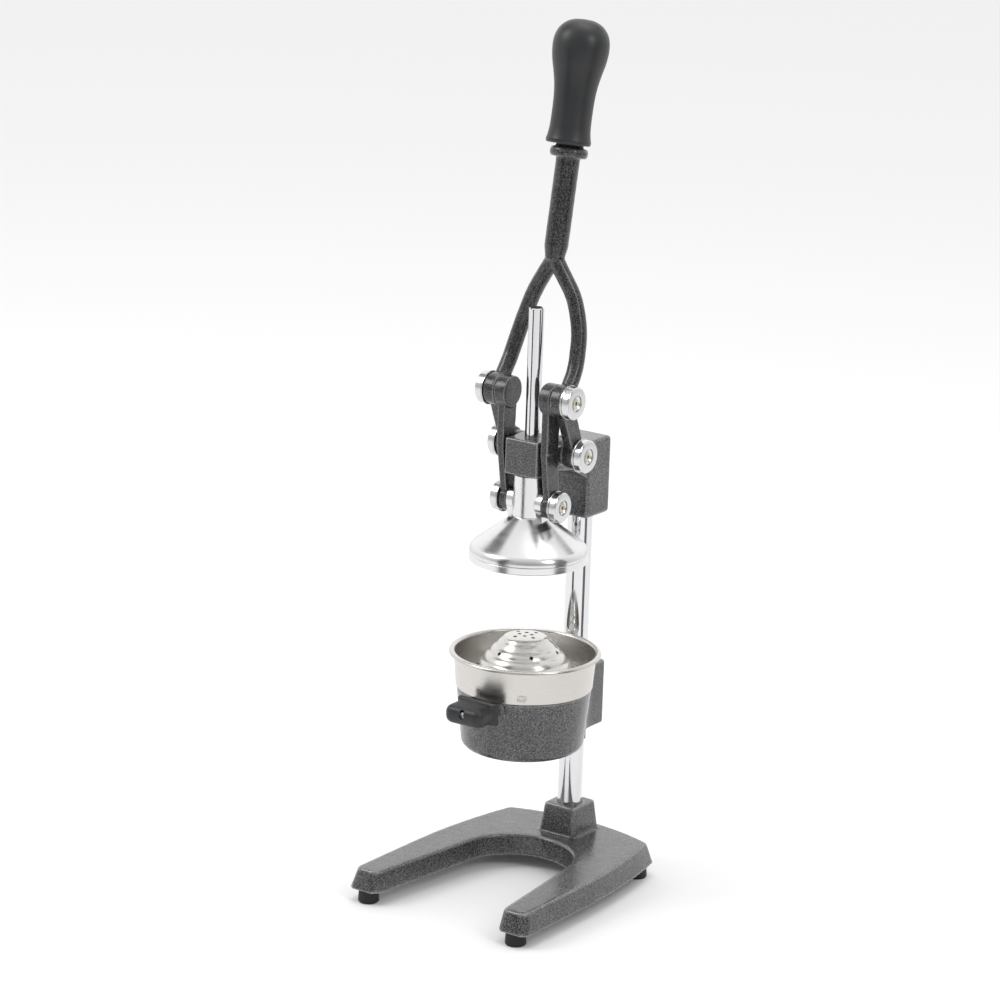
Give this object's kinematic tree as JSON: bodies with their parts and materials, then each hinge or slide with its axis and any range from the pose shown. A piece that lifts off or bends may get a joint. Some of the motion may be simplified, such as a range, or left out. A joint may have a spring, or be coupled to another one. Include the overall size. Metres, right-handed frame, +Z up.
{
  "type": "citrus press juicer",
  "caption": "Hand-lever citrus press with a U-shaped base, a column, a cast cup with a steel bowl and strainer, and a bell worked by a forked lever.",
  "frame": {"origin": "centre of the base's footprint, on the surface it stands on", "axes": "+Z up; -Y is the front, where the legs point and the cup's grip is; +X is to the right seen from the front"},
  "size_m": [0.179, 0.225, 0.7244],
  "materials": {
    "hammertone_paint": "dark grey hammered paint, glossy, on rough castings",
    "chrome_plate": "bright chrome plate",
    "polished_aluminium": "turned and polished",
    "satin_stainless": "satin pressed sheet",
    "black_plastic": "satin moulded",
    "black_rubber": "moulded",
    "zinc_steel": "zinc plated",
    "passivated_steel": "yellow passivated screw"
  },
  "bodies": {
    "frame": {"base_casting": "hammertone_paint", "foot_front_left": "black_rubber", "foot_front_right": "black_rubber", "foot_rear_left": "black_rubber", "foot_rear_right": "black_rubber", "foot_screws": "zinc_steel", "column": "chrome_plate", "column_bolt": "zinc_steel", "column_washer": "zinc_steel", "cup_holder": "hammertone_paint", "cup_set_screw": "zinc_steel", "cup_grip": "black_plastic", "cup_grip_screw": "zinc_steel", "head_casting": "hammertone_paint", "head_set_screws": "zinc_steel", "fulcrum_cap_left": "chrome_plate", "fulcrum_washer_left": "chrome_plate", "fulcrum_screw_left": "passivated_steel", "fulcrum_cap_right": "chrome_plate", "fulcrum_washer_right": "chrome_plate", "fulcrum_screw_right": "passivated_steel"},
    "lever": {"lever_casting": "hammertone_paint", "lever_grip": "black_plastic"},
    "press": {"press_bell": "polished_aluminium", "guide_rod": "chrome_plate"},
    "bowl": {"juice_bowl": "satin_stainless", "bowl_spout": "satin_stainless"},
    "strainer": {"strainer_cone": "satin_stainless"},
    "link_left": {"link_left": "hammertone_paint", "crank_cap_left": "chrome_plate", "crank_washer_left": "chrome_plate", "crank_screw_left": "passivated_steel", "bell_cap_left": "chrome_plate", "bell_washer_left": "chrome_plate", "bell_screw_left": "passivated_steel"},
    "link_right": {"link_right": "hammertone_paint", "crank_cap_right": "chrome_plate", "crank_washer_right": "chrome_plate", "crank_screw_right": "passivated_steel", "bell_cap_right": "chrome_plate", "bell_washer_right": "chrome_plate", "bell_screw_right": "passivated_steel"}
  },
  "joints": [
    {"name": "lever_hinge", "type": "hinge", "parent": "frame", "child": "lever", "pos_m": [0, 0.0201, 0.3763], "axis": [1, 0, 0], "range_deg": [0, 112]},
    {"name": "link_left_hinge", "type": "hinge", "parent": "lever", "child": "link_left", "pos_m": [-0.02, -0.0001, 0.4244], "axis": [1, 0, 0], "range_deg": [-101.41, 0]},
    {"name": "link_right_hinge", "type": "hinge", "parent": "lever", "child": "link_right", "pos_m": [0.02, -0.0001, 0.4244], "axis": [1, 0, 0], "range_deg": [-101.41, 0]},
    {"name": "press_slide", "type": "slide", "parent": "frame", "child": "press", "axis": [0, 0, -1], "range_m": [0, 0.0824]},
    {"name": "bowl_turn", "type": "hinge", "parent": "frame", "child": "bowl", "pos_m": [0, 0.0055, 0.18], "axis": [0, 0, 1], "continuous": true},
    {"name": "strainer_turn", "type": "hinge", "parent": "bowl", "child": "strainer", "pos_m": [0, 0.0055, 0.185], "axis": [0, 0, 1], "continuous": true}
  ],
  "couplings": [
    {"joint": "link_left_hinge", "follows": "lever_hinge", "ratio": -0.90362},
    {"joint": "link_right_hinge", "follows": "lever_hinge", "ratio": -0.90362},
    {"joint": "press_slide", "follows": "lever_hinge", "m_per_rad": 0.042051}
  ]
}
